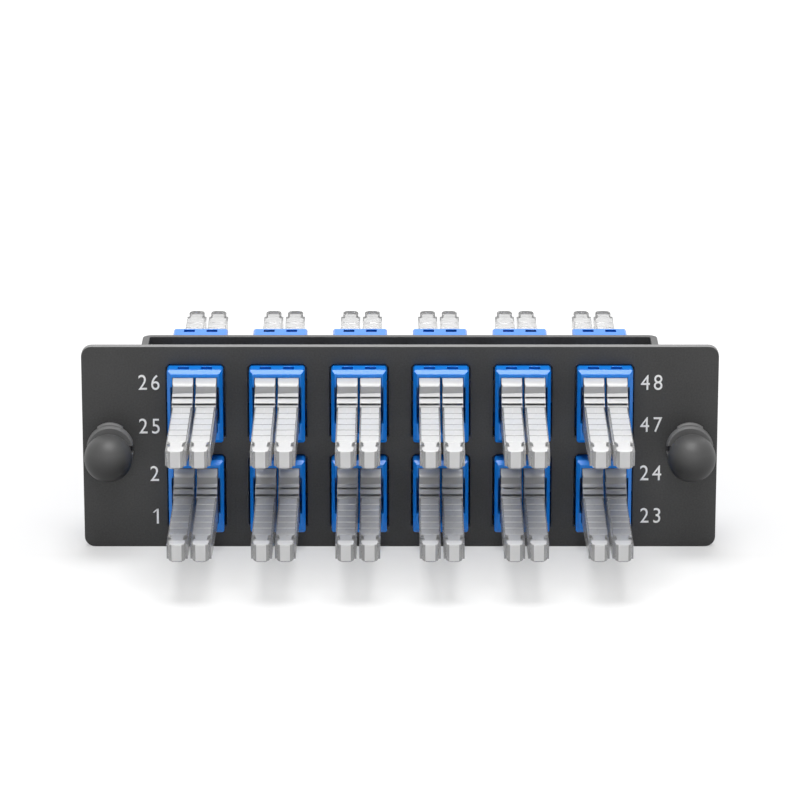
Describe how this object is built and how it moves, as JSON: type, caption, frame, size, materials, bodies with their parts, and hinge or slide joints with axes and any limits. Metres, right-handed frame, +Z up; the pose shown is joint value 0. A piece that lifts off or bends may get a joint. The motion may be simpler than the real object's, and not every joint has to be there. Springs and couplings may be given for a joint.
{
  "type": "fibre adapter panel",
  "caption": "Flat rectangular fibre adapter panel: black plate with rows of blue duplex adapters closed by pull-out dust caps, fastened by a ball-headed plunger at each end.",
  "frame": {"origin": "centre of the front plate's back face, midway between the two fasteners", "axes": "+X along the panel to the right as seen from the front, +Y from the front to the rear, +Z up"},
  "size_m": [0.109, 0.0848, 0.036],
  "materials": {
    "black_powder_coat": "fine black powder coat",
    "adapter_blue": "moulded, satin",
    "clip_steel": "bright spring steel",
    "cap_milky": "milky clear, soft gloss",
    "fastener_black": "black nylon, soft gloss"
  },
  "bodies": {
    "panel": {"front_plate": "black_powder_coat", "rear_bracket": "black_powder_coat", "adapters_lower_row": "adapter_blue", "adapters_upper_row": "adapter_blue", "adapter_clips": "clip_steel", "left_grommet": "fastener_black", "right_grommet": "fastener_black"},
    "front_cap_01": {"front_cap_01": "cap_milky"},
    "front_cap_02": {"front_cap_02": "cap_milky"},
    "front_cap_03": {"front_cap_03": "cap_milky"},
    "front_cap_04": {"front_cap_04": "cap_milky"},
    "front_cap_05": {"front_cap_05": "cap_milky"},
    "front_cap_06": {"front_cap_06": "cap_milky"},
    "front_cap_07": {"front_cap_07": "cap_milky"},
    "front_cap_08": {"front_cap_08": "cap_milky"},
    "front_cap_09": {"front_cap_09": "cap_milky"},
    "front_cap_10": {"front_cap_10": "cap_milky"},
    "front_cap_11": {"front_cap_11": "cap_milky"},
    "front_cap_12": {"front_cap_12": "cap_milky"},
    "front_cap_13": {"front_cap_13": "cap_milky"},
    "front_cap_14": {"front_cap_14": "cap_milky"},
    "front_cap_15": {"front_cap_15": "cap_milky"},
    "front_cap_16": {"front_cap_16": "cap_milky"},
    "front_cap_17": {"front_cap_17": "cap_milky"},
    "front_cap_18": {"front_cap_18": "cap_milky"},
    "front_cap_19": {"front_cap_19": "cap_milky"},
    "front_cap_20": {"front_cap_20": "cap_milky"},
    "front_cap_21": {"front_cap_21": "cap_milky"},
    "front_cap_22": {"front_cap_22": "cap_milky"},
    "front_cap_23": {"front_cap_23": "cap_milky"},
    "front_cap_24": {"front_cap_24": "cap_milky"},
    "rear_cap_01": {"rear_cap_01": "cap_milky"},
    "rear_cap_02": {"rear_cap_02": "cap_milky"},
    "rear_cap_03": {"rear_cap_03": "cap_milky"},
    "rear_cap_04": {"rear_cap_04": "cap_milky"},
    "rear_cap_05": {"rear_cap_05": "cap_milky"},
    "rear_cap_06": {"rear_cap_06": "cap_milky"},
    "rear_cap_07": {"rear_cap_07": "cap_milky"},
    "rear_cap_08": {"rear_cap_08": "cap_milky"},
    "rear_cap_09": {"rear_cap_09": "cap_milky"},
    "rear_cap_10": {"rear_cap_10": "cap_milky"},
    "rear_cap_11": {"rear_cap_11": "cap_milky"},
    "rear_cap_12": {"rear_cap_12": "cap_milky"},
    "rear_cap_13": {"rear_cap_13": "cap_milky"},
    "rear_cap_14": {"rear_cap_14": "cap_milky"},
    "rear_cap_15": {"rear_cap_15": "cap_milky"},
    "rear_cap_16": {"rear_cap_16": "cap_milky"},
    "rear_cap_17": {"rear_cap_17": "cap_milky"},
    "rear_cap_18": {"rear_cap_18": "cap_milky"},
    "rear_cap_19": {"rear_cap_19": "cap_milky"},
    "rear_cap_20": {"rear_cap_20": "cap_milky"},
    "rear_cap_21": {"rear_cap_21": "cap_milky"},
    "rear_cap_22": {"rear_cap_22": "cap_milky"},
    "rear_cap_23": {"rear_cap_23": "cap_milky"},
    "rear_cap_24": {"rear_cap_24": "cap_milky"},
    "left_plunger": {"left_plunger": "fastener_black"},
    "right_plunger": {"right_plunger": "fastener_black"}
  },
  "joints": [
    {"name": "front_cap_01_pull", "type": "slide", "parent": "panel", "child": "front_cap_01", "axis": [0, -1, 0], "range_m": [0, 0.012]},
    {"name": "front_cap_02_pull", "type": "slide", "parent": "panel", "child": "front_cap_02", "axis": [0, -1, 0], "range_m": [0, 0.012]},
    {"name": "front_cap_03_pull", "type": "slide", "parent": "panel", "child": "front_cap_03", "axis": [0, -1, 0], "range_m": [0, 0.012]},
    {"name": "front_cap_04_pull", "type": "slide", "parent": "panel", "child": "front_cap_04", "axis": [0, -1, 0], "range_m": [0, 0.012]},
    {"name": "front_cap_05_pull", "type": "slide", "parent": "panel", "child": "front_cap_05", "axis": [0, -1, 0], "range_m": [0, 0.012]},
    {"name": "front_cap_06_pull", "type": "slide", "parent": "panel", "child": "front_cap_06", "axis": [0, -1, 0], "range_m": [0, 0.012]},
    {"name": "front_cap_07_pull", "type": "slide", "parent": "panel", "child": "front_cap_07", "axis": [0, -1, 0], "range_m": [0, 0.012]},
    {"name": "front_cap_08_pull", "type": "slide", "parent": "panel", "child": "front_cap_08", "axis": [0, -1, 0], "range_m": [0, 0.012]},
    {"name": "front_cap_09_pull", "type": "slide", "parent": "panel", "child": "front_cap_09", "axis": [0, -1, 0], "range_m": [0, 0.012]},
    {"name": "front_cap_10_pull", "type": "slide", "parent": "panel", "child": "front_cap_10", "axis": [0, -1, 0], "range_m": [0, 0.012]},
    {"name": "front_cap_11_pull", "type": "slide", "parent": "panel", "child": "front_cap_11", "axis": [0, -1, 0], "range_m": [0, 0.012]},
    {"name": "front_cap_12_pull", "type": "slide", "parent": "panel", "child": "front_cap_12", "axis": [0, -1, 0], "range_m": [0, 0.012]},
    {"name": "front_cap_13_pull", "type": "slide", "parent": "panel", "child": "front_cap_13", "axis": [0, -1, 0], "range_m": [0, 0.012]},
    {"name": "front_cap_14_pull", "type": "slide", "parent": "panel", "child": "front_cap_14", "axis": [0, -1, 0], "range_m": [0, 0.012]},
    {"name": "front_cap_15_pull", "type": "slide", "parent": "panel", "child": "front_cap_15", "axis": [0, -1, 0], "range_m": [0, 0.012]},
    {"name": "front_cap_16_pull", "type": "slide", "parent": "panel", "child": "front_cap_16", "axis": [0, -1, 0], "range_m": [0, 0.012]},
    {"name": "front_cap_17_pull", "type": "slide", "parent": "panel", "child": "front_cap_17", "axis": [0, -1, 0], "range_m": [0, 0.012]},
    {"name": "front_cap_18_pull", "type": "slide", "parent": "panel", "child": "front_cap_18", "axis": [0, -1, 0], "range_m": [0, 0.012]},
    {"name": "front_cap_19_pull", "type": "slide", "parent": "panel", "child": "front_cap_19", "axis": [0, -1, 0], "range_m": [0, 0.012]},
    {"name": "front_cap_20_pull", "type": "slide", "parent": "panel", "child": "front_cap_20", "axis": [0, -1, 0], "range_m": [0, 0.012]},
    {"name": "front_cap_21_pull", "type": "slide", "parent": "panel", "child": "front_cap_21", "axis": [0, -1, 0], "range_m": [0, 0.012]},
    {"name": "front_cap_22_pull", "type": "slide", "parent": "panel", "child": "front_cap_22", "axis": [0, -1, 0], "range_m": [0, 0.012]},
    {"name": "front_cap_23_pull", "type": "slide", "parent": "panel", "child": "front_cap_23", "axis": [0, -1, 0], "range_m": [0, 0.012]},
    {"name": "front_cap_24_pull", "type": "slide", "parent": "panel", "child": "front_cap_24", "axis": [0, -1, 0], "range_m": [0, 0.012]},
    {"name": "rear_cap_01_pull", "type": "slide", "parent": "panel", "child": "rear_cap_01", "axis": [0, 1, 0], "range_m": [0, 0.012]},
    {"name": "rear_cap_02_pull", "type": "slide", "parent": "panel", "child": "rear_cap_02", "axis": [0, 1, 0], "range_m": [0, 0.012]},
    {"name": "rear_cap_03_pull", "type": "slide", "parent": "panel", "child": "rear_cap_03", "axis": [0, 1, 0], "range_m": [0, 0.012]},
    {"name": "rear_cap_04_pull", "type": "slide", "parent": "panel", "child": "rear_cap_04", "axis": [0, 1, 0], "range_m": [0, 0.012]},
    {"name": "rear_cap_05_pull", "type": "slide", "parent": "panel", "child": "rear_cap_05", "axis": [0, 1, 0], "range_m": [0, 0.012]},
    {"name": "rear_cap_06_pull", "type": "slide", "parent": "panel", "child": "rear_cap_06", "axis": [0, 1, 0], "range_m": [0, 0.012]},
    {"name": "rear_cap_07_pull", "type": "slide", "parent": "panel", "child": "rear_cap_07", "axis": [0, 1, 0], "range_m": [0, 0.012]},
    {"name": "rear_cap_08_pull", "type": "slide", "parent": "panel", "child": "rear_cap_08", "axis": [0, 1, 0], "range_m": [0, 0.012]},
    {"name": "rear_cap_09_pull", "type": "slide", "parent": "panel", "child": "rear_cap_09", "axis": [0, 1, 0], "range_m": [0, 0.012]},
    {"name": "rear_cap_10_pull", "type": "slide", "parent": "panel", "child": "rear_cap_10", "axis": [0, 1, 0], "range_m": [0, 0.012]},
    {"name": "rear_cap_11_pull", "type": "slide", "parent": "panel", "child": "rear_cap_11", "axis": [0, 1, 0], "range_m": [0, 0.012]},
    {"name": "rear_cap_12_pull", "type": "slide", "parent": "panel", "child": "rear_cap_12", "axis": [0, 1, 0], "range_m": [0, 0.012]},
    {"name": "rear_cap_13_pull", "type": "slide", "parent": "panel", "child": "rear_cap_13", "axis": [0, 1, 0], "range_m": [0, 0.012]},
    {"name": "rear_cap_14_pull", "type": "slide", "parent": "panel", "child": "rear_cap_14", "axis": [0, 1, 0], "range_m": [0, 0.012]},
    {"name": "rear_cap_15_pull", "type": "slide", "parent": "panel", "child": "rear_cap_15", "axis": [0, 1, 0], "range_m": [0, 0.012]},
    {"name": "rear_cap_16_pull", "type": "slide", "parent": "panel", "child": "rear_cap_16", "axis": [0, 1, 0], "range_m": [0, 0.012]},
    {"name": "rear_cap_17_pull", "type": "slide", "parent": "panel", "child": "rear_cap_17", "axis": [0, 1, 0], "range_m": [0, 0.012]},
    {"name": "rear_cap_18_pull", "type": "slide", "parent": "panel", "child": "rear_cap_18", "axis": [0, 1, 0], "range_m": [0, 0.012]},
    {"name": "rear_cap_19_pull", "type": "slide", "parent": "panel", "child": "rear_cap_19", "axis": [0, 1, 0], "range_m": [0, 0.012]},
    {"name": "rear_cap_20_pull", "type": "slide", "parent": "panel", "child": "rear_cap_20", "axis": [0, 1, 0], "range_m": [0, 0.012]},
    {"name": "rear_cap_21_pull", "type": "slide", "parent": "panel", "child": "rear_cap_21", "axis": [0, 1, 0], "range_m": [0, 0.012]},
    {"name": "rear_cap_22_pull", "type": "slide", "parent": "panel", "child": "rear_cap_22", "axis": [0, 1, 0], "range_m": [0, 0.012]},
    {"name": "rear_cap_23_pull", "type": "slide", "parent": "panel", "child": "rear_cap_23", "axis": [0, 1, 0], "range_m": [0, 0.012]},
    {"name": "rear_cap_24_pull", "type": "slide", "parent": "panel", "child": "rear_cap_24", "axis": [0, 1, 0], "range_m": [0, 0.012]},
    {"name": "left_plunger_pull", "type": "slide", "parent": "panel", "child": "left_plunger", "axis": [0, -1, 0], "range_m": [0, 0.004]},
    {"name": "right_plunger_pull", "type": "slide", "parent": "panel", "child": "right_plunger", "axis": [0, -1, 0], "range_m": [0, 0.004]}
  ]
}
